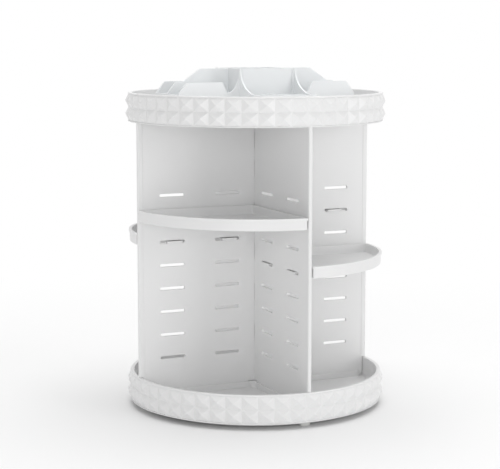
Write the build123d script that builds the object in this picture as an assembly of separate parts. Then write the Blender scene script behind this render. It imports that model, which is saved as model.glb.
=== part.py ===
from build123d import *
from math import cos, radians, sin, sqrt
import os

# Revolving four-bay cosmetics carousel with hook-in sector shelves.
# Frame: millimetres, origin on the table under the middle of the carousel, +Z up.
# The long partition lies along X. The front wing partition points to -Y.

os.makedirs("parts", exist_ok=True)

# ---- trays -------------------------------------------------------------------
rim_radius = 115.0        # over the tips of the studs
stud_count = 51           # pyramids round the rim
stud_rows = 2
stud_height = 11.5
stud_depth = 2.4          # from the valley lines out to the tips
rim_bore = 109.0          # inside of the rim
rim_foot = 0.9            # plain bead under the studs
rim_lip = 1.4             # plain lip over the studs
floor_gap = 5.0           # from the rim's lower edge up to the floor
floor_thickness = 2.6
base_rim_z = 5.0          # lower edge of the base tray's rim
top_rim_z = 252.9         # lower edge of the top tray's rim

rim_height = rim_foot + stud_rows * stud_height + rim_lip
valley_radius = rim_radius - stud_depth
base_floor_top = base_rim_z + floor_gap + floor_thickness
top_floor_under = top_rim_z + floor_gap
top_floor_top = top_floor_under + floor_thickness

# ---- partitions --------------------------------------------------------------
panel_radius = 111.7      # out to the panels' free edges
panel_thickness = 2.6
panel_inner_reach = 108.6 # where the panels stand inside a rim
bead_width = 5.0          # thicker border down each free edge
bead_thickness = 3.4
slot_length = 23.0
slot_height = 2.6
slot_radii = (28.0, 80.0) # middles of the two columns of slots
slot_pitch = 20.5
slot_first_z = 46.2
slot_levels = 8
socket_height = 5.0       # ribs that hold the panels' feet and heads
socket_reach = 104.0
socket_wall = 1.6
fit_gap = 0.1
hook_height = 14.0        # tabs that pass through the long partition
front_hook_levels = (62.0, 136.0, 210.0)
rear_hook_levels = (99.0, 173.0, 236.0)

# ---- sector shelves ----------------------------------------------------------
shelf_radius = 112.9
shelf_height = 10.0
shelf_wall = 2.0
shelf_lip = 1.6
shelf_lip_overhang = 0.6
shelf_inset = 2.1         # from a partition's mid-plane to the shelf's side
shelf_corner = 5.0
tab_length = 14.0
tab_thickness = 2.0
tab_shift = 2.0           # tabs sit towards the axle end of their slots
tab_reach = 2.8           # past the partition's mid-plane
shelf_levels = {"front_left": 6, "front_right": 4, "rear_left": 5, "rear_right": 6}

# ---- turntable ---------------------------------------------------------------
plate_radius = 106.0
plate_under = 2.6
plate_top = 4.8
hub_radius = 14.6
hub_under = 5.0
hub_top = 7.6
glide_circle = 62.0       # middle of the slip ring that carries the base tray
glide_half_width = 4.0
foot_circle = 100.0
foot_size = 9.0           # square stick-on pads, smaller where they touch the table
foot_taper = 1.0
pivot_radius = 2.0
pivot_top = 16.0
head_radius = 4.2
head_height = 2.0
washer_radius = 6.0
washer_thickness = 0.75
bush_bore = 2.05
bush_radius = 3.6
bush_top = 8.2
boss_radius = 7.0
boss_under = 8.3
boss_top = 18.0
rib_inner = 72.0          # stiffening ribs under the base tray
rib_count = 12
rib_depth = 2.9

# ---- lift-out inserts of the top tray -----------------------------------------
insert_floor = 1.6
insert_wall = 1.8
tower_half = 25.0         # square block of four brush cups
tower_gap = 0.2
tower_height = 38.5       # over the top tray's floor
shoulder_height = 27.0
step_height = 18.0
cell_height = 17.0
long_arm = 84.0           # bays to the left and right
short_arm = 72.0          # bays to the front and rear
socket_rail = 14.0        # low wall round the brush block


def polar(radius, angle, z):
    """Point at a radius and an angle in degrees round the axle."""
    return Vector(radius * cos(radians(angle)), radius * sin(radians(angle)), z)


def turned(outline):
    """Revolve a closed outline of (radius, height) corners about the axle."""
    return revolve(Plane.XZ * make_face(Polyline(*outline, close=True)), Axis.Z)


def upright(outline_sketch, thickness):
    """Board of an (x, z) sketch, centred on the XZ plane."""
    return extrude(Plane.XZ * outline_sketch, thickness / 2, both=True)


def disc(radius, low, high):
    """Plain round slug between two heights."""
    return Pos(0, 0, (low + high) / 2) * Cylinder(radius, high - low)


# ---- trays -------------------------------------------------------------------
def studded_band(low):
    """Ring whose outer side is rows of four-sided pyramids meeting in valley lines."""
    step = 360 / stud_count
    levels = [low + rim_foot + row * stud_height for row in range(stud_rows + 1)]
    faces = []
    for bottom, top in zip(levels, levels[1:]):
        for stud in range(stud_count):
            corners = [
                polar(valley_radius, stud * step, bottom),
                polar(valley_radius, (stud + 1) * step, bottom),
                polar(valley_radius, (stud + 1) * step, top),
                polar(valley_radius, stud * step, top),
            ]
            tip = polar(rim_radius, (stud + 0.5) * step, (bottom + top) / 2)
            for first, second in zip(corners, corners[1:] + corners[:1]):
                faces.append(Face(Wire.make_polygon([first, second, tip], close=True)))
    for level in (levels[0], levels[-1]):
        ring = [polar(valley_radius, stud * step, level) for stud in range(stud_count)]
        faces.append(Face(Wire.make_polygon(ring, close=True)))
    drum = Solid(Shell(faces))
    return drum - disc(rim_bore + 1.0, levels[0] - 1, levels[-1] + 1)


def tray_shell(low):
    """Floor, smooth inner wall, bead and lip of a tray, without the studs."""
    floor_under = low + floor_gap
    floor_top = floor_under + floor_thickness
    studs_low = low + rim_foot
    studs_high = studs_low + stud_rows * stud_height
    back = rim_bore + 2.0
    foot_out = valley_radius + 0.6
    lip_out = valley_radius + 0.5
    return turned([
        (0, floor_under), (rim_bore, floor_under), (rim_bore, low), (foot_out, low),
        (foot_out, studs_low), (back, studs_low), (back, studs_high), (lip_out, studs_high),
        (lip_out, low + rim_height), (rim_bore, low + rim_height), (rim_bore, floor_top),
        (0, floor_top),
    ])


def sockets(low, high):
    """Four pairs of ribs that grip the partitions' feet or heads."""
    length = socket_reach - boss_radius
    offset = panel_thickness / 2 + fit_gap + socket_wall / 2
    rib = Box(length, socket_wall, high - low)
    rib = chamfer(rib.edges().filter_by(Axis.Y), 1.5)
    ribs = []
    for side in (-1, 1):
        placed = Pos(boss_radius + length / 2, side * offset, (low + high) / 2) * rib
        ribs += [Rot(0, 0, quarter * 90) * placed for quarter in range(4)]
    return ribs


def base_tray():
    """Lower studded tray: panel sockets above, ribs and a screw boss below."""
    floor_under = base_rim_z + floor_gap
    body = studded_band(base_rim_z) + tray_shell(base_rim_z)
    body += sockets(base_floor_top - 0.5, base_floor_top + socket_height)
    body += disc(boss_radius, boss_under, boss_top)
    length = rim_bore - rib_inner + 0.5
    rib = Box(length, socket_wall, rib_depth + 0.5)
    rib = Pos(rib_inner + length / 2, 0, floor_under - rib_depth / 2) * rib
    body += [Rot(0, 0, (turn + 0.5) * 360 / rib_count) * rib for turn in range(rib_count)]
    return body - disc(pivot_radius, boss_under - 1, pivot_top)


def top_tray():
    """Upper studded tray, with sockets under its floor for the partitions' heads."""
    body = studded_band(top_rim_z) + tray_shell(top_rim_z)
    return body + sockets(top_floor_under - socket_height, top_floor_under + 0.5)


# ---- partitions --------------------------------------------------------------
def slot_grid(radii):
    """Columns of slots at the given distances from the axle."""
    slot = Rectangle(slot_length, slot_height)
    levels = [slot_first_z + level * slot_pitch for level in range(slot_levels)]
    return [Pos(radius, level) * slot for radius in radii for level in levels]


def hook_blocks(levels, reach, grow):
    """Rectangles for the wing partitions' hook tabs, grown by a clearance."""
    return [Pos(0, z) * Rectangle(2 * (reach + grow), hook_height + 2 * grow) for z in levels]


def panel_outline(inner, radius, reach):
    """Half a partition from a start line out to its free edge, stepped over both rims."""
    shoulder_low = base_rim_z + rim_height
    return Polyline(
        (inner, base_floor_top), (reach, base_floor_top), (reach, shoulder_low),
        (radius, shoulder_low), (radius, top_rim_z), (reach, top_rim_z),
        (reach, top_floor_under), (inner, top_floor_under), close=True,
    )


def edge_bead():
    """Thick border down a partition's free edge."""
    low = base_rim_z + rim_height
    bead = Box(bead_width, bead_thickness, top_rim_z - low)
    bead = chamfer(bead.edges().filter_by(Axis.Z), 1.0)
    return Pos(panel_radius - bead_width / 2, 0, (low + top_rim_z) / 2) * bead


def boss_notch():
    """Cut at a partition's foot that clears the base tray's screw boss."""
    return Pos(0, base_floor_top) * Rectangle(2 * boss_radius + 1, 2 * (boss_top + 0.3 - base_floor_top))


def long_partition():
    """Board across the whole carousel, slotted for shelves and for the wings' hooks."""
    half = make_face(panel_outline(0, panel_radius - 1, panel_inner_reach))
    board = half + mirror(half, Plane.YZ) - boss_notch()
    board -= slot_grid(slot_radii + tuple(-radius for radius in slot_radii))
    board -= hook_blocks(front_hook_levels + rear_hook_levels, panel_thickness / 2, fit_gap)
    return upright(board, panel_thickness) + edge_bead() + Rot(0, 0, 180) * edge_bead()


def wing_partition(hook_levels, turn):
    """Half-width board that hooks through the long partition."""
    start = panel_thickness / 2
    board = make_face(panel_outline(start, panel_radius - 1, panel_inner_reach)) - boss_notch()
    board -= slot_grid(slot_radii)
    board += hook_blocks(hook_levels, start, 0)
    return Rot(0, 0, turn) * (upright(board, panel_thickness) + edge_bead())


# ---- shelves -----------------------------------------------------------------
def sector(radius, inset):
    """Quarter circle between two partitions."""
    reach = sqrt(radius**2 - inset**2)
    middle = radius * cos(radians(45))
    return make_face([
        Line((inset, inset), (reach, inset)),
        ThreePointArc((reach, inset), (middle, middle), (inset, reach)),
        Line((inset, reach), (inset, inset)),
    ])


def shelf_tabs():
    """Four flat tabs, two on each side, level with the shelf's underside."""
    length = shelf_inset + tab_reach + shelf_wall
    middle = (shelf_inset + shelf_wall - tab_reach) / 2
    tab = Box(tab_length, length, tab_thickness)
    tabs = [Pos(radius - tab_shift, middle, tab_thickness / 2) * tab for radius in slot_radii]
    return tabs + [mirror(each, Plane((0, 0, 0), z_dir=(1, -1, 0))) for each in tabs]


def sector_shelf(quarter, level):
    """Shallow quarter tray with a lipped rim, hooked into one row of slots."""
    face_radius = shelf_radius - shelf_lip_overhang
    outside = sector(face_radius, shelf_inset)
    lip = sector(shelf_radius, shelf_inset)
    hollow = sector(face_radius - shelf_wall, shelf_inset + shelf_wall)
    body = extrude(fillet(outside.vertices(), shelf_corner), shelf_height)
    lip = extrude(fillet(lip.vertices(), shelf_corner), shelf_lip)
    body += Pos(0, 0, shelf_height - shelf_lip) * lip
    body -= Pos(0, 0, shelf_wall) * extrude(hollow, shelf_height)
    body += shelf_tabs()
    z = slot_first_z + level * slot_pitch - slot_height / 2
    return Pos(0, 0, z) * Rot(0, 0, quarter * 90) * body


# ---- turntable ---------------------------------------------------------------
def base_plate():
    """Fixed disc that stays still on the table, with a raised hub for the bush."""
    return turned([
        (bush_radius, hub_under), (hub_radius - 2.6, hub_under), (hub_radius - 2.6, plate_under),
        (plate_radius, plate_under), (plate_radius, plate_top), (hub_radius, plate_top),
        (hub_radius, hub_top), (bush_radius, hub_top),
    ])


def foot_pad(quarter):
    """Soft square foot stuck under the base plate."""
    pad = Box(foot_size, foot_size, plate_under)
    pad = chamfer(pad.edges().group_by(Axis.Z)[0], foot_taper)
    return Rot(0, 0, quarter * 90) * Pos(foot_circle, 0, plate_under / 2) * pad


def glide_ring():
    """Slippery ring on the base plate that carries the turning tray."""
    tray_under = base_rim_z + floor_gap
    ring = disc(glide_circle + glide_half_width, plate_top, tray_under)
    return ring - disc(glide_circle - glide_half_width, plate_top - 1, tray_under + 1)


def pivot_bush():
    """Plain sleeve bearing in the middle of the base plate."""
    return disc(bush_radius, hub_under, bush_top) - disc(bush_bore, hub_under - 1, bush_top + 1)


def retaining_washer():
    """Flat washer under the hub that stops the carousel from lifting off."""
    low = hub_under - 0.8
    washer = disc(washer_radius, low, low + washer_thickness)
    return washer - disc(pivot_radius, low - 1, hub_under)


def pivot_screw():
    """Cheese-head screw that the carousel turns on."""
    head_top = hub_under - 0.8
    head_under = head_top - head_height
    screw = turned([
        (0, head_under), (head_radius, head_under), (head_radius, head_top),
        (pivot_radius, head_top), (pivot_radius, pivot_top), (0, pivot_top),
    ])
    recess = Box(5.0, 0.9, 1.6) + Box(0.9, 5.0, 1.6)
    return screw - Pos(0, 0, head_under) * recess


# ---- inserts of the top tray ---------------------------------------------------
def brush_block():
    """Square block of four deep cups for brushes and pencils."""
    low = top_floor_top + insert_floor
    high = top_floor_top + tower_height
    block = Pos(0, 0, low) * extrude(RectangleRounded(2 * tower_half, 2 * tower_half, 3.0), high - low)
    cup_half = (tower_half - 1.5 * insert_wall) / 2
    offset = cup_half + insert_wall / 2
    cup = Box(2 * cup_half, 2 * cup_half, high - low)
    middle = (low + high) / 2 + insert_wall
    return block - [Pos(x, y, middle) * cup for x in (-offset, offset) for y in (-offset, offset)]


def swept_wall(far, steps, drop_end, drop_height):
    """Divider seen square on: it swoops from the block's corner down to its low part."""
    start = tower_half + tower_gap
    post = start + insert_wall
    path = [
        Line((0, 0), (0, socket_rail)),
        Line((0, socket_rail), (start, socket_rail)),
        Line((start, socket_rail), (start, tower_height)),
        Line((start, tower_height), (post, tower_height)),
        EllipticalCenterArc(
            (drop_end, tower_height), drop_end - post, tower_height - drop_height, 180, arc_size=90
        ),
    ]
    corners = [(drop_end, drop_height), *steps, (far, cell_height), (far, 0), (0, 0)]
    path += [Line(first, second) for first, second in zip(corners, corners[1:])]
    half = make_face(path)
    return half + mirror(half, Plane.YZ)


def long_wall():
    """Side wall of the left and right bays, with its raised shoulder."""
    steps = [(42.7, shoulder_height), (76.0, shoulder_height)]
    return upright(swept_wall(long_arm, steps, 38.5, step_height), insert_wall)


def short_wall():
    """Side wall of the front and rear bays."""
    return upright(swept_wall(short_arm, [], 60.0, cell_height), insert_wall)


def middle_wall():
    """Tall divider down the middle of the left and right bays."""
    start = tower_half + tower_gap + insert_wall
    outline = Polyline(
        (start, 0), (start, tower_height), (53.0, tower_height), (70.0, shoulder_height),
        (76.0, shoulder_height), (long_arm, cell_height), (long_arm, 0), close=True,
    )
    return upright(make_face(outline), insert_wall)


def divider_insert():
    """Frosted cross of bays and lipstick cells that drops into the top tray."""
    line = tower_half + tower_gap + insert_wall / 2
    edge = line + insert_wall / 2
    end_height = cell_height / 2
    body = Pos(0, 0, insert_floor / 2) * Box(2 * long_arm, 2 * edge, insert_floor)
    body += Pos(0, 0, insert_floor / 2) * Box(2 * edge, 2 * short_arm, insert_floor)
    body += [Pos(0, side * line, 0) * long_wall() for side in (-1, 1)]
    body += [Rot(0, 0, 90) * Pos(0, side * line, 0) * short_wall() for side in (-1, 1)]
    body += [Rot(0, 0, turn) * middle_wall() for turn in (0, 180)]
    end_wall = Pos(long_arm - insert_wall / 2, 0, end_height) * Box(insert_wall, 2 * line, cell_height)
    body += [Rot(0, 0, turn) * end_wall for turn in (0, 180)]
    cross_height = Box(2 * line, insert_wall, cell_height)
    for y in (short_arm - insert_wall / 2, (short_arm + edge) / 2):
        body += [Pos(0, side * y, end_height) * cross_height for side in (-1, 1)]
    spine = Box(insert_wall, short_arm - edge, cell_height)
    body += [Pos(0, side * (short_arm + edge) / 2, end_height) * spine for side in (-1, 1)]
    return Pos(0, 0, top_floor_top) * body


def write(name, shape):
    """Save one sub-part under its own name."""
    shape.label = name
    export_step(shape, f"parts/{name}.step")


write("base_plate", base_plate())
for number in range(4):
    write(f"foot_pad_{number + 1}", foot_pad(number))
write("pivot_bush", pivot_bush())
write("pivot_screw", pivot_screw())
write("retaining_washer", retaining_washer())
write("glide_ring", glide_ring())
write("base_tray", base_tray())
write("long_partition", long_partition())
write("front_wing_partition", wing_partition(front_hook_levels, -90))
write("rear_wing_partition", wing_partition(rear_hook_levels, 90))
for number, name in enumerate(("rear_right", "rear_left", "front_left", "front_right")):
    write(f"shelf_{name}", sector_shelf(number, shelf_levels[name]))
write("top_tray", top_tray())
write("divider_insert", divider_insert())
write("brush_block", brush_block())
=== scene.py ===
from math import atan2, cos, pi, radians, sin, sqrt

import bpy
import numpy as np
from bpy.props import FloatProperty, FloatVectorProperty, IntProperty, PointerProperty
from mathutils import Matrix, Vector
from mathutils.geometry import delaunay_2d_cdt


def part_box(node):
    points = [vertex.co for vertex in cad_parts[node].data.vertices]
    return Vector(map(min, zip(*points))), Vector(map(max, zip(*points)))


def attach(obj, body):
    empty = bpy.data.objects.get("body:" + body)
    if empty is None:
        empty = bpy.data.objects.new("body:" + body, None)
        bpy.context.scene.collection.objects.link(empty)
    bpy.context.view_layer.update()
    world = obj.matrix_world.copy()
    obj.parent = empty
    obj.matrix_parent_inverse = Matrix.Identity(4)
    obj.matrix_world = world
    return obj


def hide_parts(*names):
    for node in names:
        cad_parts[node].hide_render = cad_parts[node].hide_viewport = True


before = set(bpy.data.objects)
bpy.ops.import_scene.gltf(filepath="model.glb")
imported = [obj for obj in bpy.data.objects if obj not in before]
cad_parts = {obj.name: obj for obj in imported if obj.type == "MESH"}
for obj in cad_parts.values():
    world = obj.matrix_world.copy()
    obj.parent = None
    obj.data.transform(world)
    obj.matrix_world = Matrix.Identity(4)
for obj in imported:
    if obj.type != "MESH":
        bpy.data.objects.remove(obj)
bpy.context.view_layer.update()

bl_info = {
    "name": "Revolving cosmetics carousel",
    "version": (1, 0, 0),
    "blender": (4, 5, 0),
    "location": "3D View > Sidebar > Carousel",
    "description": "Studded trays, slotted partitions, hook-in shelves and a lift-out divider",
    "category": "Add Mesh",
}

MM = 0.001

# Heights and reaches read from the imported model, in millimetres.
BASE_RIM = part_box("base_tray")[0][2] / MM
TOP_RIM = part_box("top_tray")[0][2] / MM
INSERT_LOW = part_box("divider_insert")[0][2] / MM
INSERT_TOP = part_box("divider_insert")[1][2] / MM
LONG_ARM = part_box("divider_insert")[1][0] / MM
SHORT_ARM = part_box("divider_insert")[1][1] / MM
TOWER_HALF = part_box("brush_block")[1][0] / MM
PLATE_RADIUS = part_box("base_plate")[1][0] / MM

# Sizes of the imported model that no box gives, repeated here in millimetres.
RIM_FOOT = 0.9
RIM_LIP = 1.4
RIM_HEIGHT = 25.3
RIM_BORE = 109.0
RING_BACK = 110.5
FLOOR_GAP = 5.0
FLOOR_THICKNESS = 2.6
BOSS_RADIUS = 7.0
BOSS_TOP = 18.0
BOSS_FOOT = 8.3
PANEL_INNER_REACH = 108.6
HOOK_HEIGHT = 14.0
FRONT_HOOKS = (62.0, 136.0, 210.0)
REAR_HOOKS = (99.0, 173.0, 236.0)
SLOT_RADII = (28.0, 80.0)
SLOT_FIRST = 46.2
SLOT_PITCH = 20.5
SLOT_ROWS = 8
SLOT_CORNER = 0.9
QUARTERS = {"rear_right": 0, "rear_left": 1, "front_left": 2, "front_right": 3}
INSERT_WALL = 1.8
INSERT_FLOOR = 1.6
CELL_HEIGHT = 17.0
# A crossing wall's faces stay this far inside the wall that it crosses, so that no two lie in one plane.
KEEP_IN = 0.06


def to_linear(hex_text):
    """Linear red, green and blue of an sRGB hex text.

    Each is c / 12.92 up to 0.04045, and ((c + 0.055) / 1.055) ^ 2.4 above it.
    """
    value = np.array([int(hex_text[at:at + 2], 16) for at in (1, 3, 5)]) / 255
    return tuple(np.where(value <= 0.04045, value / 12.92, ((value + 0.055) / 1.055) ** 2.4))


# ---- settings ------------------------------------------------------------------
def length(name, description, default):
    """A length property in metres from a default in millimetres."""
    return FloatProperty(name=name, description=description, default=default * MM, unit="LENGTH",
                         min=0.0, precision=4)


def colour(name, description, hex_text):
    """A colour property from an sRGB hex text."""
    return FloatVectorProperty(name=name, description=description, default=to_linear(hex_text),
                               subtype="COLOR", min=0.0, max=1.0)


class CarouselSizes(bpy.types.PropertyGroup):
    """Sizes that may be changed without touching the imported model."""
    rim_radius: length("Rim radius", "Over the tips of the studs", 114.9)
    stud_depth: length("Stud depth", "From the valley lines out to the tips", 2.8)
    stud_height: length("Stud height", "Height of one row of studs", 11.5)
    stud_edge: length("Stud edge", "Softness of the studs' ridges", 0.25)
    stud_count: IntProperty(name="Studs", description="Studs round one row", default=51, min=12)
    panel_radius: length("Partition radius", "Out to the free edges", 111.7)
    panel_thickness: length("Partition thickness", "Between the two faces", 2.6)
    slot_length: length("Slot length", "Length of one shelf slot", 23.0)
    slot_height: length("Slot height", "Height of one shelf slot", 2.6)
    shelf_radius: length("Shelf radius", "Out to the shelf's lip", 112.9)
    shelf_height: length("Shelf height", "From the underside to the lip", 10.0)
    edge_round: length("Edge round", "Radius of the moulded edges", 0.35)


class CarouselColours(bpy.types.PropertyGroup):
    """Colours of the materials."""
    abs_white: colour("White ABS", "Trays, partitions and shelves", "#E9E9E9")
    frosted: colour("Frosted styrene", "Divider insert and brush block", "#F2F4F5")
    silicone: colour("Pale silicone", "Feet", "#DCDDDA")
    acetal: colour("Natural acetal", "Slip ring and bearing sleeve", "#DCDCD2")
    zinc: colour("Zinc plated steel", "Screw and washer", "#B9BBBF")
    floor: colour("Floor", "Plain pale floor", "#FAFAFA")


# ---- loops in a plane ------------------------------------------------------------
def arc(centre, radius, start, end, count):
    """Points on a circle: centre + radius * (cos a, sin a), a from start to end in degrees."""
    angles = np.radians(np.linspace(start, end, count))
    return np.array(centre) + radius * np.stack([np.cos(angles), np.sin(angles)], axis=1)


def rounded(corners, radii, count=5):
    """Polygon with its corners rounded: each corner gives an arc that is tangent to both of its sides.

    The arc's centre lies on the corner's bisector, at radius / sin(half the corner's angle).
    """
    corners = np.array(corners, float)
    radii = np.broadcast_to(radii, len(corners))
    loop = []
    for corner, before, after, radius in zip(corners, np.roll(corners, 1, 0), np.roll(corners, -1, 0), radii):
        if radius == 0:
            loop.append(corner[None])
            continue
        back = (before - corner) / np.linalg.norm(before - corner)
        ahead = (after - corner) / np.linalg.norm(after - corner)
        half = np.arccos(np.clip(back @ ahead, -1, 1)) / 2
        middle = corner + (back + ahead) / np.linalg.norm(back + ahead) * radius / sin(half)
        first = corner + back * radius / np.tan(half) - middle
        last = corner + ahead * radius / np.tan(half) - middle
        start = atan2(first[1], first[0])
        sweep = (atan2(last[1], last[0]) - start + pi) % (2 * pi) - pi
        angles = start + np.linspace(0, sweep, count)
        loop.append(middle + radius * np.stack([np.cos(angles), np.sin(angles)], axis=1))
    return np.concatenate(loop)


def rectangle(centre, width, height, radius, count=5):
    """Rectangle round a centre with rounded corners, counter-clockwise."""
    x, y = centre
    w, h = width / 2, height / 2
    return rounded([(x - w, y - h), (x + w, y - h), (x + w, y + h), (x - w, y + h)], radius, count)


def sector(radius, inset, corner, inner_corner):
    """Quarter disc between two partitions, counter-clockwise, with tangent corner arcs.

    An outer corner's centre is one corner radius inside both the straight side and the big arc.
    """
    along = sqrt((radius - corner) ** 2 - (inset + corner) ** 2)
    lean = np.degrees(atan2(inset + corner, along))
    near = inset + inner_corner
    return np.concatenate([
        arc((near, near), inner_corner, 180, 270, 6),
        arc((along, inset + corner), corner, -90, lean, 8),
        arc((0, 0), radius, lean, 90 - lean, 40)[1:-1],
        arc((inset + corner, along), corner, 90 - lean, 180, 8),
    ])


def mirrored_outline(right):
    """Outline that is the same on both sides of x = 0: its right half and that half's mirror image."""
    return np.concatenate([right, (right * (-1, 1))[::-1]])


def shifted(loop, inset):
    """Loop moved into the material, to the left of its direction of travel, by a mitred offset.

    Each point moves by inset * (n1 + n2) / (1 + n1 . n2), n1 and n2 being its two sides' left normals.
    """
    side = np.roll(loop, -1, 0) - loop
    side /= np.linalg.norm(side, axis=1, keepdims=True)
    after = np.stack([-side[:, 1], side[:, 0]], axis=1)
    before = np.roll(after, 1, 0)
    share = 1 + np.sum(before * after, axis=1, keepdims=True)
    return loop + inset * (before + after) / share


# ---- surfaces --------------------------------------------------------------------
def wall(loop, section):
    """Grid carried along a closed loop, with one row for each (inset, level) of its section.

    Row k is the loop shifted in by section[k][0], at level section[k][1].
    """
    rows = [np.column_stack([shifted(loop, inset), np.full(len(loop), level)]) for inset, level in section]
    return closed_rows(np.array(rows))


def closed_rows(rows):
    """Quads between neighbouring rows of a grid whose columns run round and meet again."""
    count, columns = rows.shape[:2]
    index = np.arange(count * columns).reshape(count, columns)
    ahead = np.roll(index, -1, 1)
    quads = np.stack([index[:-1], index[1:], ahead[1:], ahead[:-1]], axis=-1).reshape(-1, 4)
    return rows.reshape(-1, 3), quads.tolist()


def cap(loops, level, up):
    """Flat face at one level inside the first loop and outside the others, which bulge outwards all round.

    A face whose points all belong to one inner loop lies in a hole and is left out.
    """
    points = np.concatenate(loops)
    owner = np.repeat(np.arange(len(loops)), [len(loop) for loop in loops])
    ends = np.cumsum([len(loop) for loop in loops])
    edges = []
    for start, end in zip(np.r_[0, ends[:-1]], ends):
        ring = np.arange(start, end)
        edges += np.stack([ring, np.roll(ring, -1)], axis=1).tolist()
    flat = [Vector(point) for point in points]
    _, _, faces, origin, _, _ = delaunay_2d_cdt(flat, edges, [], 5, 1e-5)
    back = [first[0] for first in origin]
    faces = [[back[at] for at in face] for face in faces]
    faces = [face for face in faces if owner[face[0]] == 0 or len(set(owner[face])) > 1]
    if not up:
        faces = [face[::-1] for face in faces]
    return np.column_stack([points, np.full(len(points), level)]), faces


def joined(parts):
    """One list of vertices and faces out of several."""
    vertices, faces, base = [], [], 0
    for points, cells in parts:
        vertices.append(points)
        faces += [[base + at for at in cell] for cell in cells]
        base += len(points)
    return np.concatenate(vertices), faces


def edge_section(low, high, edge, count=4):
    """Section of a slab's wall from its top down: quarter rounds of one radius at both edges."""
    turn = np.linspace(0, pi / 2, count)
    top = [(edge * (1 - sin(t)), high - edge * (1 - cos(t))) for t in turn]
    return top + [(inset, low + high - level) for inset, level in reversed(top)]


def slab(outline, low, high, edge, holes=()):
    """Flat board between two levels with holes through it and rounded edges.

    Holes are given counter-clockwise and turned round, so that the material is to their left.
    """
    loops = [outline] + [hole[::-1] for hole in holes]
    section = edge_section(low, high, edge)
    face = [shifted(loop, edge) for loop in loops]
    return joined([wall(loop, section) for loop in loops] + [cap(face, high, True), cap(face, low, False)])


def tub(outline, outer, pockets, inner):
    """Block with pockets: outer and inner are (inset, level) sections, both from the rim downwards."""
    holes = [pocket[::-1] for pocket in pockets]
    rim = [shifted(outline, outer[0][0])] + [shifted(hole, inner[0][0]) for hole in holes]
    parts = [wall(outline, outer), cap(rim, outer[0][1], True)]
    parts.append(cap([shifted(outline, outer[-1][0])], outer[-1][1], False))
    for hole in holes:
        parts += [wall(hole, inner), cap([shifted(hole, inner[-1][0])[::-1]], inner[-1][1], True)]
    return joined(parts)


def turned(profile, columns, closed=False):
    """Profile of (radius, height) turned about the axle: x = r cos a, y = r sin a, z = height.

    Profiles run from the top of the axle over the outside to its foot. A profile that starts and ends
    on the axle gets one point at each pole. A closed one is a ring.
    """
    profile = np.array(profile, float)
    ring = profile if closed else profile[1:-1]
    rows = np.stack([circle(radius, height, columns) for radius, height in ring])
    if closed:
        vertices, quads = closed_rows(np.concatenate([rows, rows[:1]]))
        total = len(profile) * columns
        return vertices[:total], (np.array(quads) % total).tolist()
    vertices, quads = closed_rows(rows)
    last = len(vertices)
    column = np.arange(columns)
    ahead = np.roll(column, -1)
    foot = last - columns
    top = np.stack([np.full(columns, last), column, ahead], axis=1).tolist()
    bottom = np.stack([np.full(columns, last + 1), foot + ahead, foot + column], axis=1).tolist()
    poles = [(0, 0, profile[0, 1]), (0, 0, profile[-1, 1])]
    return np.concatenate([vertices, poles]), quads + top + bottom


def circle(radius, height, columns, start=0.0):
    """Points evenly round the axle at one height, the first at a share start of a step."""
    angles = (np.arange(columns) + start) * 2 * pi / columns
    return np.stack([radius * np.cos(angles), radius * np.sin(angles), np.full(columns, height)], axis=1)


def standing(part):
    """Turns a slab's (x, y, level) into (x, -level, y), so that it stands in the XZ plane."""
    vertices, faces = part
    return vertices[:, [0, 2, 1]] * (1, -1, 1), faces


def placed(part, turn=0.0, shift=(0, 0, 0)):
    """Turns a part about the axle by an angle in degrees after shifting it."""
    vertices, faces = part
    vertices = vertices + np.array(shift, float)
    c, s = cos(radians(turn)), sin(radians(turn))
    x, y, z = vertices.T
    return np.stack([c * x - s * y, s * x + c * y, z], axis=1), faces


def block(low, high, radius, edge):
    """Upright box between two corners with rounded corners and edges."""
    (x0, y0, z0), (x1, y1, z1) = low, high
    outline = rectangle(((x0 + x1) / 2, (y0 + y1) / 2), x1 - x0, y1 - y0, max(radius, 1.5 * edge), 4)
    return slab(outline, z0, z1, edge)


def make_piece(name, parts, material, body, nodes, smooth_angle=32):
    """Mesh object in metres with its place in its vertices, riding on a body and standing for CAD nodes.

    Weighted normals keep its flat faces flat beside their rounded edges.
    """
    vertices, faces = joined(parts)
    mesh = bpy.data.meshes.new(name)
    mesh.from_pydata((vertices * MM).tolist(), [], faces)
    mesh.validate()
    mesh.shade_smooth()
    mesh.set_sharp_from_angle(angle=radians(smooth_angle))
    mesh.materials.append(material)
    piece = bpy.data.objects.new(name, mesh)
    bpy.context.scene.collection.objects.link(piece)
    if smooth_angle < 180:
        piece.modifiers.new("Flat faces", "WEIGHTED_NORMAL").keep_sharp = True
    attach(piece, body)
    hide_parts(*nodes)
    return piece


# ---- materials -------------------------------------------------------------------
def add_node(tree, kind, settings=(), links=()):
    """Adds one node, sets its values and sockets, and links (output, input) pairs into it."""
    node = tree.nodes.new(kind)
    for key, value in dict(settings).items():
        if isinstance(key, str) and hasattr(node, key) and key not in node.inputs:
            setattr(node, key, value)
        else:
            node.inputs[key].default_value = value
    for source, target in dict(links).items():
        tree.links.new(target, node.inputs[source])
    return node


def new_material(name):
    """Empty node material with its output and shader, and object coordinates."""
    material = bpy.data.materials.new(name)
    material.use_nodes = True
    tree = material.node_tree
    tree.nodes.clear()
    coordinates = add_node(tree, "ShaderNodeTexCoord").outputs["Object"]
    shader = add_node(tree, "ShaderNodeBsdfPrincipled")
    add_node(tree, "ShaderNodeOutputMaterial", links={"Surface": shader.outputs[0]})
    return material, tree, coordinates, shader


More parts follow.
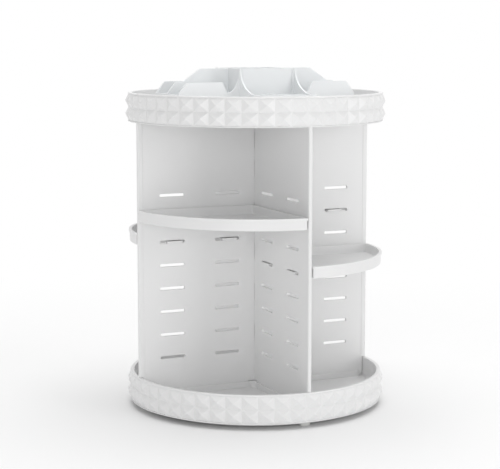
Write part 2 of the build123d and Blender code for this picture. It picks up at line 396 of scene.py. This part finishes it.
def moulded(name, tint, roughness, spread, grain_mm, grain_height, shade=0.03, **sockets):
    """Moulded plastic: fine mould texture as bump, slow gloss variation and a slight tone drift.

    Noise scale is 1 / size in metres, so a grain of g millimetres is a scale of 1000 / g.
    """
    material, tree, coordinates, shader = new_material(name)
    slow = add_node(tree, "ShaderNodeTexNoise", {"Scale": 1000 / 60, "Detail": 2.0},
                    {"Vector": coordinates}).outputs["Fac"]
    fine = add_node(tree, "ShaderNodeTexNoise", {"Scale": 1000 / grain_mm, "Detail": 3.0},
                    {"Vector": coordinates}).outputs["Fac"]
    gloss = add_node(tree, "ShaderNodeMapRange",
                     {"To Min": roughness - spread, "To Max": roughness + spread}, {"Value": slow})
    tone = add_node(tree, "ShaderNodeMix", {"data_type": "RGBA"}, {"Factor": slow})
    tone.inputs[6].default_value = (*(c * (1 - shade) for c in tint), 1)
    tone.inputs[7].default_value = (*(min(1, c * (1 + shade)) for c in tint), 1)
    bump = add_node(tree, "ShaderNodeBump", {"Strength": 1.0, "Distance": grain_height * MM},
                    {"Height": fine})
    tree.links.new(gloss.outputs["Result"], shader.inputs["Roughness"])
    tree.links.new(tone.outputs[2], shader.inputs["Base Color"])
    tree.links.new(bump.outputs["Normal"], shader.inputs["Normal"])
    for socket, value in sockets.items():
        shader.inputs[socket.replace("_", " ")].default_value = value
    return material


def build_materials():
    """All the materials, by name."""
    tints = bpy.context.scene.carousel_colours
    made = {}
    # ABS from a polished mould: bright satin gloss, faint ripple, hardly any depth.
    made["abs_white"] = moulded("ABS, glossy moulded white", tints.abs_white, 0.32, 0.04, 1.2, 0.004,
                                0.006, IOR=1.54)
    # Styrene with a frosted mould face: milky, lets soft light through and shows no clear shapes.
    made["frosted"] = moulded("Styrene, frosted", tints.frosted, 0.42, 0.05, 0.8, 0.01, 0.01,
                              IOR=1.57, Transmission_Weight=0.03)
    # Silicone: matt, slightly waxy.
    made["silicone"] = moulded("Silicone, pale matt", tints.silicone, 0.6, 0.05, 0.6, 0.01, 0.02, IOR=1.41)
    # Acetal straight from the mould: waxy off-white.
    made["acetal"] = moulded("Acetal, natural", tints.acetal, 0.38, 0.05, 1.0, 0.006, 0.015, IOR=1.48)
    # Zinc plating over steel: grey, slightly cloudy metal.
    made["zinc"] = moulded("Steel, zinc plated", tints.zinc, 0.36, 0.06, 0.4, 0.004, 0.05, Metallic=1.0)
    return made


def finish_of(name):
    """One material by its short name, made with all the others when the first is asked for."""
    if not MATERIALS:
        MATERIALS.update(build_materials())
    return MATERIALS[name]


MATERIALS = {}


# ---- trays -------------------------------------------------------------------------
def stud_levels(low, sizes):
    """Heights of a rim's three valley lines, from the top down."""
    return low + RIM_FOOT + sizes.stud_height / MM * np.array([2, 1, 0])


def studded_ring(low, sizes):
    """Closed ring with rows of four-sided pyramids outside, each of four corners and a tip.

    Corners lie on the valley lines, at the valley radius and whole steps round. Tips lie at the rim's
    radius, half a step on and half a row down.
    """
    count = sizes.stud_count
    tip = sizes.rim_radius / MM
    valley = tip - sizes.stud_depth / MM
    levels = stud_levels(low, sizes)
    lines = [circle(valley, level, count) for level in levels]
    corners = np.stack([circle(RING_BACK, levels[0], count), *lines,
                        circle(RING_BACK, levels[-1], count)])
    tips = np.stack([circle(tip, (high + under) / 2, count, 0.5) for high, under in zip(levels, levels[1:])])
    index = np.arange(corners.size // 3).reshape(corners.shape[:2])
    ahead = np.roll(index, -1, 1)
    peak = corners.size // 3 + np.arange(tips.size // 3).reshape(tips.shape[:2])
    a, b, c, d = index[1:-2], index[2:-1], ahead[2:-1], ahead[1:-2]
    facets = np.stack([[a, b, peak], [b, c, peak], [c, d, peak], [d, a, peak]])
    facets = np.moveaxis(facets, 1, -1).reshape(-1, 3).tolist()
    bands = ((0, 1), (-2, -1), (-1, 0))
    plain = [[index[row], index[under], ahead[under], ahead[row]] for row, under in bands]
    plain = np.moveaxis(np.array(plain), 1, -1).reshape(-1, 4).tolist()
    return np.concatenate([corners.reshape(-1, 3), tips.reshape(-1, 3)]), facets + plain


def tray_profile(low, sizes, floor_centre, under_centre):
    """Section of a tray without its studs, from the axle over floor, wall and rim back to the axle.

    The lip and the foot stand a little proud of the valley lines and overlap the ring of studs.
    """
    floor_top = low + FLOOR_GAP + FLOOR_THICKNESS
    floor_under = low + FLOOR_GAP
    levels = stud_levels(low, sizes)
    valley = (sizes.rim_radius - sizes.stud_depth) / MM
    lip_top = levels[0] + RIM_LIP
    lip_out, foot_out, back = valley + 0.4, valley + 0.5, RING_BACK + 0.5
    lip_under, foot_top = levels[0] - 0.1, levels[-1] + 0.1
    floor_from = 50.0
    inside = rounded([
        (floor_from, floor_top), (RIM_BORE, floor_top), (RIM_BORE, lip_top), (lip_out, lip_top),
        (lip_out, lip_under), (back, lip_under)], (0, 3.0, 0.8, 0.7, 0.15, 0), 6)
    below = rounded([
        (back, foot_top), (foot_out, foot_top), (foot_out, low), (RIM_BORE, low),
        (RIM_BORE, floor_under), (floor_from, floor_under)], (0, 0.15, 0.4, 0.5, 0.8, 0), 6)
    return np.concatenate([floor_centre, inside, below, under_centre])


def sockets(low, high):
    """Four pairs of ribs that grip the partitions."""
    offset, thickness, reach = 1.4, 1.6, 104.0
    start = BOSS_RADIUS - 0.6
    parts = []
    for side in (-1, 1):
        y = sorted((side * offset, side * (offset + thickness)))
        rib = block((start, y[0], low), (reach, y[1], high), 0.5, 0.35)
        parts += [placed(rib, quarter * 90) for quarter in range(4)]
    return parts


def add_studs(name, low, sizes, body, node):
    """Makes a rim's ring of studs, with its ridges and valleys rounded by a Bevel modifier."""
    ring = make_piece(name, [studded_ring(low, sizes)], finish_of("abs_white"), body, [node], 180)
    bevel = ring.modifiers.new("Soft ridges", "BEVEL")
    bevel.width = sizes.stud_edge
    bevel.segments = 3
    bevel.limit_method = "ANGLE"
    bevel.angle_limit = radians(20)
    bevel.harden_normals = True


class CAROUSEL_OT_trays(bpy.types.Operator):
    """Studded base tray with its screw boss and ribs, and studded top tray"""
    bl_idname = "carousel.trays"
    bl_label = "Studded trays"

    def execute(self, context):
        sizes = context.scene.carousel_sizes
        white = finish_of("abs_white")
        floor_top = BASE_RIM + FLOOR_GAP + FLOOR_THICKNESS
        columns, sunk, socket_height = 256, 0.6, 5.0
        bore, bore_top = 2.0, 16.0
        centre = [(0, BOSS_TOP), (6.5, BOSS_TOP), (BOSS_RADIUS, 17.5), (BOSS_RADIUS, floor_top + 0.8),
                  (7.8, floor_top)]
        under = [(7.6, 10.0), (BOSS_RADIUS, 9.6), (BOSS_RADIUS, 8.6), (6.7, BOSS_FOOT), (bore, BOSS_FOOT),
                 (bore, bore_top), (0, bore_top)]
        parts = [turned(tray_profile(BASE_RIM, sizes, centre, under), columns)]
        parts += sockets(floor_top - sunk, floor_top + socket_height)
        rib_count = 12
        rib = block((72.0, -0.8, 7.1), (109.4, 0.8, 10.4), 0.3, 0.3)
        parts += [placed(rib, (turn + 0.5) * 360 / rib_count) for turn in range(rib_count)]
        make_piece("base_tray_shell", parts, white, "carousel", ["base_tray"])
        add_studs("base_tray_studs", BASE_RIM, sizes, "carousel", "base_tray")

        under_top = TOP_RIM + FLOOR_GAP
        top_floor = under_top + FLOOR_THICKNESS
        parts = [turned(tray_profile(TOP_RIM, sizes, [(0, top_floor)], [(0, under_top)]), columns)]
        parts += sockets(under_top - socket_height, under_top + sunk)
        make_piece("top_tray_shell", parts, white, "top_tray", ["top_tray"])
        add_studs("top_tray_studs", TOP_RIM, sizes, "top_tray", "top_tray")
        return {"FINISHED"}


# ---- partitions ----------------------------------------------------------------------
def board_outline(start, sizes):
    """Half a partition, counter-clockwise from its foot, stepped in at both rims."""
    low = BASE_RIM + FLOOR_GAP + FLOOR_THICKNESS
    high = TOP_RIM + FLOOR_GAP
    rim_top = BASE_RIM + RIM_HEIGHT
    out = sizes.panel_radius / MM - 1
    notch, notch_top, chamfer = BOSS_RADIUS + 0.5, 18.3, 3.2
    return np.array([
        (start, notch_top), (notch, notch_top), (notch, low), (PANEL_INNER_REACH - chamfer, low),
        (PANEL_INNER_REACH, low + chamfer), (PANEL_INNER_REACH, rim_top), (out, rim_top), (out, TOP_RIM),
        (PANEL_INNER_REACH, TOP_RIM), (PANEL_INNER_REACH, high), (start, high)])


def slots(radii, sizes):
    """Shelf slots of one half board, as loops."""
    levels = SLOT_FIRST + SLOT_PITCH * np.arange(SLOT_ROWS)
    width, height = sizes.slot_length / MM, sizes.slot_height / MM
    return [rectangle((radius, level), width, height, SLOT_CORNER, 4)
            for radius in radii for level in levels]


def free_edge(sizes):
    """Rounded border down a partition's free edge, a little thicker than the board."""
    out = sizes.panel_radius / MM
    width, half, gap = 5.0, 1.7, 0.05
    return block((out - width, -half, BASE_RIM + RIM_HEIGHT + gap), (out, half, TOP_RIM - gap), 1.1, 0.5)


class CAROUSEL_OT_partitions(bpy.types.Operator):
    """Long partition and the two wings that hook through it"""
    bl_idname = "carousel.partitions"
    bl_label = "Slotted partitions"

    def execute(self, context):
        sizes = context.scene.carousel_sizes
        white = finish_of("abs_white")
        edge = sizes.edge_round / MM
        half = sizes.panel_thickness / MM / 2
        outline = mirrored_outline(board_outline(0, sizes)[1:-1])
        holes = slots(SLOT_RADII + tuple(-radius for radius in SLOT_RADII), sizes)
        play = 0.2
        holes += [rectangle((0, level), 2 * half + play, HOOK_HEIGHT + play, 0.2, 3)
                  for level in FRONT_HOOKS + REAR_HOOKS]
        parts = [standing(slab(outline, -half, half, edge, holes))]
        parts += [placed(free_edge(sizes), turn) for turn in (0, 180)]
        make_piece("long_partition_board", parts, white, "carousel", ["long_partition"])

        for name, turn, hooks in (("front", -90, FRONT_HOOKS), ("rear", 90, REAR_HOOKS)):
            outline = board_outline(half, sizes)
            parts = [standing(slab(outline, -half, half, edge, slots(SLOT_RADII, sizes)))]
            parts += [standing(slab(rectangle((0.4, level), 2 * half + 0.7, HOOK_HEIGHT, 0.6, 3),
                                    KEEP_IN - half, half - KEEP_IN, edge)) for level in hooks]
            parts.append(free_edge(sizes))
            parts = [placed(part, turn) for part in parts]
            make_piece(f"{name}_wing_board", parts, white, "carousel", [f"{name}_wing_partition"])
        return {"FINISHED"}


# ---- shelves ---------------------------------------------------------------------------
class CAROUSEL_OT_shelves(bpy.types.Operator):
    """Four shallow quarter shelves with a lipped rim and hook tabs"""
    bl_idname = "carousel.shelves"
    bl_label = "Quarter shelves"

    def execute(self, context):
        sizes = context.scene.carousel_sizes
        radius = sizes.shelf_radius / MM
        high = sizes.shelf_height / MM
        side, pocket_side, rim_width, corner = 2.1, 4.1, 2.8, 1.8
        outline = sector(radius, side, corner, corner)
        pocket = sector(radius - rim_width, pocket_side, corner, corner)
        outer = [(0.4, high), (0.12, high - 0.12), (0, high - 0.4), (0, high - 1.7), (0.1, high - 1.95),
                 (0.35, high - 2.05), (0.85, high - 2.1), (0.85, high - 2.3), (0.85, 0.6), (0.95, 0.25),
                 (1.2, 0.05), (1.4, 0)]
        inner = [(0.35, high), (0.1, high - 0.1), (0, high - 0.35), (0, 3.4), (-0.2, 2.6), (-0.6, 2.15),
                 (-1.3, 2.0)]
        tray = tub(outline, outer, [pocket], inner)
        tabs = [block((at - 9.0, -2.8, KEEP_IN), (at + 5.0, 4.0, 2.0), 0.8, 0.3) for at in SLOT_RADII]
        # The other side's tabs are mirrored, which turns their faces over, so the faces are turned back.
        tabs += [placed((part[0] * (1, -1, 1), [face[::-1] for face in part[1]]), 90) for part in tabs]
        for name, quarter in QUARTERS.items():
            node = f"shelf_{name}"
            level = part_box(node)[0][2] / MM
            parts = [placed(part, quarter * 90, (0, 0, level)) for part in [tray] + tabs]
            make_piece(f"quarter_{node}", parts, finish_of("abs_white"), node, [node])
        return {"FINISHED"}


# ---- lift-out divider --------------------------------------------------------------------
def swoop(post, end, high, low, count=22):
    """Concave quarter ellipse from (post, high) down to (end, low), centred on (end, high)."""
    turn = np.linspace(pi, 1.5 * pi, count)
    return np.stack([end + (end - post) * np.cos(turn), high + (high - low) * np.sin(turn)], axis=1)


class CAROUSEL_OT_divider(bpy.types.Operator):
    """Frosted cross of bays and cells, and the square block of brush cups that stands in it"""
    bl_idname = "carousel.divider"
    bl_label = "Lift-out divider"

    def execute(self, context):
        frosted = finish_of("frosted")
        start = TOWER_HALF + 0.2
        post = start + INSERT_WALL
        line = start + INSERT_WALL / 2
        tall = INSERT_TOP - INSERT_LOW
        half = INSERT_WALL / 2
        edge = 0.3
        shoulder, crest, bridge = 76.0, 27.0, 14.0
        long_side = mirrored_outline(np.concatenate([
            [(LONG_ARM, 0), (LONG_ARM, CELL_HEIGHT), (shoulder, crest), (42.7, crest)],
            swoop(post, 38.5, tall, 18.0)[::-1],
            [(start, tall), (start, bridge)]]))
        inner_post, inner_tall = post - KEEP_IN, tall - KEEP_IN
        short_side = mirrored_outline(np.concatenate([
            [(SHORT_ARM, KEEP_IN / 2), (SHORT_ARM, CELL_HEIGHT)],
            swoop(inner_post, 60.0, inner_tall, CELL_HEIGHT)[::-1],
            [(start + KEEP_IN, inner_tall), (start + KEEP_IN, bridge)]]))
        arm_end = LONG_ARM - KEEP_IN
        board_end = arm_end - KEEP_IN
        sunk, lift = 0.5, 0.3
        middle = np.array([(post - sunk, lift), (board_end, lift), (board_end, CELL_HEIGHT),
                           (shoulder, crest), (70.0, crest), (53.0, inner_tall), (post - sunk, inner_tall)])
        parts = [placed(standing(slab(long_side, -half, half, edge)), 0, (0, side * line, 0))
                 for side in (-1, 1)]
        parts += [placed(standing(slab(short_side, KEEP_IN - half, half - KEEP_IN, edge)), 90,
                         (0, side * line, 0)) for side in (-1, 1)]
        parts += [placed(standing(slab(middle, -half, half, edge)), turn) for turn in (0, 180)]
        cross = np.array([
            (LONG_ARM, -post), (LONG_ARM, post), (post, post), (post, SHORT_ARM), (-post, SHORT_ARM),
            (-post, post), (-LONG_ARM, post), (-LONG_ARM, -post), (-post, -post), (-post, -SHORT_ARM),
            (post, -SHORT_ARM), (post, -post)])
        floor_loop = shifted(rounded(cross, (1, 1, 0) * 4, 4), 2 * KEEP_IN)
        parts.append(slab(floor_loop, 2 * KEEP_IN, INSERT_FLOOR, edge))
        cell_top = CELL_HEIGHT - KEEP_IN
        for turn in (0, 180):
            parts.append(placed(block((LONG_ARM - INSERT_WALL, -line, KEEP_IN), (arm_end, line, cell_top),
                                      0.5, edge), turn))
            for far in (SHORT_ARM - KEEP_IN, (SHORT_ARM + post) / 2 + half):
                parts.append(placed(block((-line, far - INSERT_WALL, KEEP_IN), (line, far, cell_top),
                                          0.5, edge), turn))
            parts.append(placed(block((-half, post - sunk, lift),
                                      (half, SHORT_ARM - sunk, cell_top - KEEP_IN), 0.5, edge), turn))
        parts = [placed(part, 0, (0, 0, INSERT_LOW)) for part in parts]
        make_piece("divider_cross", parts, frosted, "divider_insert", ["divider_insert"])

        low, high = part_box("brush_block")[0][2] / MM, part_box("brush_block")[1][2] / MM
        cup = TOWER_HALF - 1.5 * INSERT_WALL
        offset = cup / 2 + INSERT_WALL / 2
        cups = [rectangle((x, y), cup, cup, 1.6, 6) for x in (-offset, offset) for y in (-offset, offset)]
        outer = [(0.3, high), (0.1, high - 0.1), (0, high - 0.3), (0, low + 0.6), (0.2, low + 0.2),
                 (0.6, low)]
        inner = [(0.3, high), (0.1, high - 0.1), (0, high - 0.3), (0, low + 3.0), (-0.4, low + 2.1),
                 (-1.0, low + INSERT_WALL)]
        parts = [tub(rectangle((0, 0), 2 * TOWER_HALF, 2 * TOWER_HALF, 3.0, 8), outer, cups, inner)]
        make_piece("brush_cups", parts, frosted, "brush_block", ["brush_block"])
        return {"FINISHED"}


# ---- turntable -----------------------------------------------------------------------------
class CAROUSEL_OT_turntable(bpy.types.Operator):
    """Fixed disc on four feet with its slip ring, bearing sleeve, screw and washer"""
    bl_idname = "carousel.turntable"
    bl_label = "Turntable"

    def execute(self, context):
        low, top = 2.6, 4.8
        bore, hub, hub_top, recess, recess_top = 3.6, 14.6, 7.6, 12.0, 5.0
        ring = rounded([
            (bore, hub_top), (hub, hub_top), (hub, top), (PLATE_RADIUS, top), (PLATE_RADIUS, low),
            (recess, low), (recess, recess_top), (bore, recess_top)],
            (0.2, 1.0, 1.4, 0.6, 0.6, 1.0, 1.0, 0.2), 5)
        parts = [turned(ring, 192, closed=True)]
        make_piece("fixed_disc", parts, finish_of("abs_white"), "base", ["base_plate"])
        for number in range(4):
            node = f"foot_pad_{number + 1}"
            (x0, y0, z0), (x1, y1, z1) = (np.array(corner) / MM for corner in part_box(node))
            pad = rectangle(((x0 + x1) / 2, (y0 + y1) / 2), x1 - x0, y1 - y0, 2.0, 7)
            section = [(0.2, z1), (0, z1 - 0.2), (0, 1.0), (0.3, 0.3), (1.0, 0)]
            parts = [tub(pad, section, [], section)]
            make_piece(f"foot_{number + 1}", parts, finish_of("silicone"), "base", [node])
        finishes = {"glide_ring": "acetal", "pivot_bush": "acetal", "pivot_screw": "zinc",
                    "retaining_washer": "zinc"}
        for node, material in finishes.items():
            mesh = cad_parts[node].data
            mesh.materials.clear()
            mesh.materials.append(finish_of(material))
        return {"FINISHED"}


# ---- stage ---------------------------------------------------------------------------------
def seen_directly(tree):
    """1 for camera, glossy and transmission rays, which show the white background, and else 0."""
    path = add_node(tree, "ShaderNodeLightPath")
    mirrored = add_node(tree, "ShaderNodeMath", {"operation": "MAXIMUM"},
                        {0: path.outputs["Is Glossy Ray"], 1: path.outputs["Is Transmission Ray"]})
    return add_node(tree, "ShaderNodeMath", {"operation": "MAXIMUM"},
                    {0: path.outputs["Is Camera Ray"], 1: mirrored.outputs[0]}).outputs[0]


def stage_floor(tint):
    """Plain pale floor: it takes the object's shadow near by and is plain white for the camera far off."""
    mesh = bpy.data.meshes.new("floor")
    size = 12.0
    square = [(-size, -size, 0), (size, -size, 0), (size, size, 0), (-size, size, 0)]
    mesh.from_pydata(square, [], [(0, 1, 2, 3)])
    material = bpy.data.materials.new("Floor, matt pale")
    material.use_nodes = True
    tree = material.node_tree
    shader = tree.nodes["Principled BSDF"]
    shader.inputs["Base Color"].default_value = (*tint, 1)
    shader.inputs["Roughness"].default_value = 0.8
    shader.inputs["Specular IOR Level"].default_value = 0.0
    where = add_node(tree, "ShaderNodeTexCoord").outputs["Object"]
    away = add_node(tree, "ShaderNodeVectorMath", {"operation": "LENGTH"}, {0: where}).outputs["Value"]
    far = add_node(tree, "ShaderNodeMapRange",
                   {"interpolation_type": "SMOOTHSTEP", "From Min": FADE_FROM, "From Max": FADE_TO},
                   {"Value": away})
    share = add_node(tree, "ShaderNodeMath", {"operation": "MULTIPLY"},
                     {0: far.outputs["Result"], 1: seen_directly(tree)})
    plain = add_node(tree, "ShaderNodeEmission", {"Color": (1, 1, 1, 1), "Strength": 1.0})
    mix = add_node(tree, "ShaderNodeMixShader", links={0: share.outputs[0], 1: shader.outputs[0],
                                                       2: plain.outputs[0]})
    tree.links.new(mix.outputs[0], tree.nodes["Material Output"].inputs["Surface"])
    mesh.materials.append(material)
    floor = bpy.data.objects.new("floor", mesh)
    bpy.context.scene.collection.objects.link(floor)


# Metres from the axle between which the floor turns plain white for the camera.
FADE_FROM = 0.2
FADE_TO = 0.75

# Strength of the world where it lights the object. Where it is seen directly, it is 1, which is white.
WORLD_LIGHT = 0.54

# The camera that was fitted to the photograph: its angles in radians, its place in metres (right of the
# view, away from it, up), and its focal length and the picture's width in pixels.
VIEW_TURN = radians(24.18)
VIEW_TILT = 0.1312
VIEW_YAW = -0.0035
CAMERA_PLACE = (0, -1.36755, 0.33115)
FOCAL_PIXELS = 1541.6
PICTURE_PIXELS = 500
SENSOR_WIDTH = 36.0

# Softboxes: name, place in metres (right of the view, away from it, up), side in metres, watts.
LAMPS = (
    ("Overhead softbox", (0.1, 0.3, 2.3), 2.0, 29),
    ("Key softbox from the right", (2.0, -1.3, 0.55), 0.9, 9),
    ("Low softbox in front", (-0.2, -2.2, 0.3), 1.2, 10),
)


def add_lamp(name, place, target, size, watts):
    """Square area lamp at a place in metres, turned to a target."""
    lamp = bpy.data.lights.new(name, "AREA")
    lamp.shape, lamp.size, lamp.energy = "SQUARE", size, watts
    holder = bpy.data.objects.new(name, lamp)
    holder.location = place
    holder.rotation_euler = (Vector(target) - Vector(place)).to_track_quat("-Z", "Y").to_euler()
    bpy.context.scene.collection.objects.link(holder)


class CAROUSEL_OT_stage(bpy.types.Operator):
    """Pale floor, soft studio light and the camera at the photograph's angle"""
    bl_idname = "carousel.stage"
    bl_label = "Stage"

    def execute(self, context):
        scene = context.scene
        stage_floor(scene.carousel_colours.floor)
        world = bpy.data.worlds.new("Soft white studio")
        world.use_nodes = True
        tree = world.node_tree
        tree.nodes.clear()
        strength = add_node(tree, "ShaderNodeMapRange", {"To Min": WORLD_LIGHT, "To Max": 1.0},
                            {"Value": seen_directly(tree)})
        ground = add_node(tree, "ShaderNodeBackground", {"Color": (1, 1, 1, 1)},
                          {"Strength": strength.outputs["Result"]})
        add_node(tree, "ShaderNodeOutputWorld", links={"Surface": ground.outputs[0]})
        scene.world = world
        ahead = np.array([sin(VIEW_YAW) * cos(VIEW_TILT), cos(VIEW_YAW) * cos(VIEW_TILT), -sin(VIEW_TILT)])
        c, s = cos(VIEW_TURN), sin(VIEW_TURN)
        back = np.array([[c, s, 0], [-s, c, 0], [0, 0, 1]])
        for name, place, size, watts in LAMPS:
            add_lamp(name, back @ np.array(place), (0, 0, 0.15), size, watts)
        lens = bpy.data.cameras.new("Photograph's view")
        lens.sensor_fit = "HORIZONTAL"
        lens.sensor_width = SENSOR_WIDTH
        lens.lens = FOCAL_PIXELS / PICTURE_PIXELS * SENSOR_WIDTH
        lens.clip_end = 100.0
        camera = bpy.data.objects.new("Photograph's view", lens)
        camera.location = back @ np.array(CAMERA_PLACE)
        camera.rotation_euler = Vector(back @ ahead).to_track_quat("-Z", "Y").to_euler()
        scene.collection.objects.link(camera)
        scene.camera = camera
        scene.view_settings.view_transform = "Standard"
        return {"FINISHED"}


# ---- panel and registration ------------------------------------------------------------------
OPERATORS = (CAROUSEL_OT_trays, CAROUSEL_OT_partitions, CAROUSEL_OT_shelves, CAROUSEL_OT_divider,
             CAROUSEL_OT_turntable, CAROUSEL_OT_stage)


class CAROUSEL_PT_panel(bpy.types.Panel):
    """Sizes, colours and pieces of the carousel"""
    bl_label = "Carousel"
    bl_idname = "CAROUSEL_PT_panel"
    bl_space_type = "VIEW_3D"
    bl_region_type = "UI"
    bl_category = "Carousel"

    def draw(self, context):
        for group in (context.scene.carousel_sizes, context.scene.carousel_colours):
            column = self.layout.column(align=True)
            for name in group.__annotations__:
                column.prop(group, name)
        for operator in OPERATORS:
            self.layout.operator(operator.bl_idname)


CLASSES = (CarouselSizes, CarouselColours, *OPERATORS, CAROUSEL_PT_panel)


def register():
    """Registers the classes and gives each scene its sizes and colours."""
    for each in CLASSES:
        bpy.utils.register_class(each)
    bpy.types.Scene.carousel_sizes = PointerProperty(type=CarouselSizes)
    bpy.types.Scene.carousel_colours = PointerProperty(type=CarouselColours)


def unregister():
    """Takes away what register gave, in the opposite order."""
    del bpy.types.Scene.carousel_colours
    del bpy.types.Scene.carousel_sizes
    for each in reversed(CLASSES):
        bpy.utils.unregister_class(each)


def main():
    """Makes the stage and every piece."""
    register()
    bpy.ops.carousel.stage()
    bpy.ops.carousel.trays()
    bpy.ops.carousel.partitions()
    bpy.ops.carousel.shelves()
    bpy.ops.carousel.divider()
    bpy.ops.carousel.turntable()


if __name__ == "__main__":
    main()
